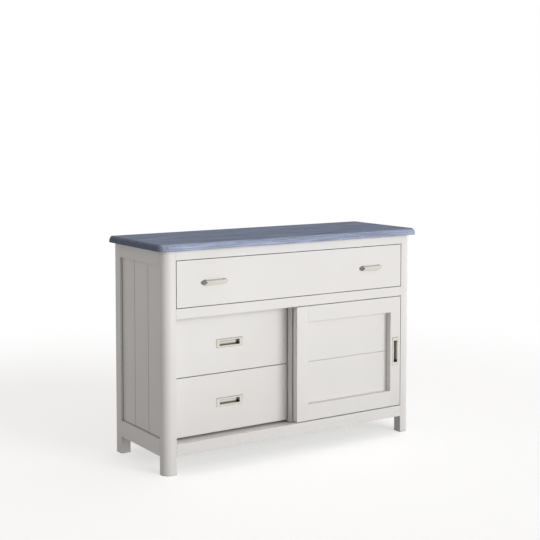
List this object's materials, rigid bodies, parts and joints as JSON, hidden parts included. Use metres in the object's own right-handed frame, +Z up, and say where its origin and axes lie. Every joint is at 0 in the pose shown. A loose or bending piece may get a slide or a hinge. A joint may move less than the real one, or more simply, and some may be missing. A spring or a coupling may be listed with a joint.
{
  "type": "sideboard",
  "caption": "Low painted cabinet with a stained wooden top, a wide drawer with bow handles, small drawers with flush pulls and a sliding door on a roller track.",
  "frame": {"origin": "on the floor under the middle of the object's bounding box", "axes": "+X to the right as seen from the front, +Y to the back, +Z up"},
  "size_m": [1.2, 0.42, 0.845],
  "materials": {
    "stained_top": "satin blue-grey stain",
    "painted_wood": "satin off-white lacquer",
    "bare_wood": "clear matt",
    "nickel": "satin nickel",
    "zinc_steel": "zinc plated",
    "nylon": "matte"
  },
  "bodies": {
    "carcass": {"back_left_post": "painted_wood", "back_panel": "bare_wood", "back_rails": "bare_wood", "back_right_post": "painted_wood", "bottom_rail": "painted_wood", "cupboard_shelf": "bare_wood", "door_track": "zinc_steel", "drawer_deck": "bare_wood", "fixed_slide_channels": "zinc_steel", "floor_board": "bare_wood", "front_left_post": "painted_wood", "front_right_post": "painted_wood", "front_top_rail": "painted_wood", "left_bottom_rail": "painted_wood", "left_side_boards": "painted_wood", "left_top_rail": "painted_wood", "middle_rail": "painted_wood", "partition": "painted_wood", "right_bottom_rail": "painted_wood", "right_side_boards": "painted_wood", "right_top_rail": "painted_wood", "shelf_pins": "zinc_steel", "side_battens": "bare_wood", "top_board": "stained_top"},
    "door": {"door_bottom_rail": "painted_wood", "door_guides": "nylon", "door_hangers": "zinc_steel", "door_left_stile": "painted_wood", "door_planks": "painted_wood", "door_pull": "nickel", "door_right_stile": "painted_wood", "door_top_rail": "painted_wood"},
    "left_wheel": {"left_roller": "nylon"},
    "right_wheel": {"right_roller": "nylon"},
    "top_drawer": {"top_drawer_back": "bare_wood", "top_drawer_bottom": "bare_wood", "top_drawer_front": "painted_wood", "top_drawer_left_side": "bare_wood", "top_drawer_right_side": "bare_wood", "top_drawer_runners": "zinc_steel", "left_bow_handle": "nickel", "right_bow_handle": "nickel", "handle_screws": "zinc_steel"},
    "top_carriers": {"top_slide_carriers": "zinc_steel"},
    "upper_drawer": {"upper_drawer_back": "bare_wood", "upper_drawer_bottom": "bare_wood", "upper_drawer_front": "painted_wood", "upper_drawer_left_side": "bare_wood", "upper_drawer_pull": "nickel", "upper_drawer_right_side": "bare_wood", "upper_drawer_runners": "zinc_steel"},
    "upper_carriers": {"upper_slide_carriers": "zinc_steel"},
    "lower_drawer": {"lower_drawer_back": "bare_wood", "lower_drawer_bottom": "bare_wood", "lower_drawer_front": "painted_wood", "lower_drawer_left_side": "bare_wood", "lower_drawer_pull": "nickel", "lower_drawer_right_side": "bare_wood", "lower_drawer_runners": "zinc_steel"},
    "lower_carriers": {"lower_slide_carriers": "zinc_steel"}
  },
  "joints": [
    {"name": "top_carriers_slide", "type": "slide", "parent": "carcass", "child": "top_carriers", "axis": [0, -1, 0], "range_m": [0, 0.17]},
    {"name": "top_drawer_slide", "type": "slide", "parent": "top_carriers", "child": "top_drawer", "axis": [0, -1, 0], "range_m": [0, 0.17]},
    {"name": "upper_carriers_slide", "type": "slide", "parent": "carcass", "child": "upper_carriers", "axis": [0, -1, 0], "range_m": [0, 0.13]},
    {"name": "upper_drawer_slide", "type": "slide", "parent": "upper_carriers", "child": "upper_drawer", "axis": [0, -1, 0], "range_m": [0, 0.13]},
    {"name": "lower_carriers_slide", "type": "slide", "parent": "carcass", "child": "lower_carriers", "axis": [0, -1, 0], "range_m": [0, 0.13]},
    {"name": "lower_drawer_slide", "type": "slide", "parent": "lower_carriers", "child": "lower_drawer", "axis": [0, -1, 0], "range_m": [0, 0.13]},
    {"name": "door_slide", "type": "slide", "parent": "carcass", "child": "door", "axis": [1, 0, 0], "range_m": [-0.529, 0]},
    {"name": "left_wheel_turn", "type": "hinge", "parent": "door", "child": "left_wheel", "pos_m": [0.066, -0.155, 0.5847], "axis": [0, 1, 0], "continuous": true},
    {"name": "right_wheel_turn", "type": "hinge", "parent": "door", "child": "right_wheel", "pos_m": [0.463, -0.155, 0.5847], "axis": [0, 1, 0], "continuous": true}
  ],
  "couplings": [
    {"joint": "left_wheel_turn", "follows": "door_slide", "rad_per_m": 100},
    {"joint": "right_wheel_turn", "follows": "door_slide", "rad_per_m": 100}
  ]
}
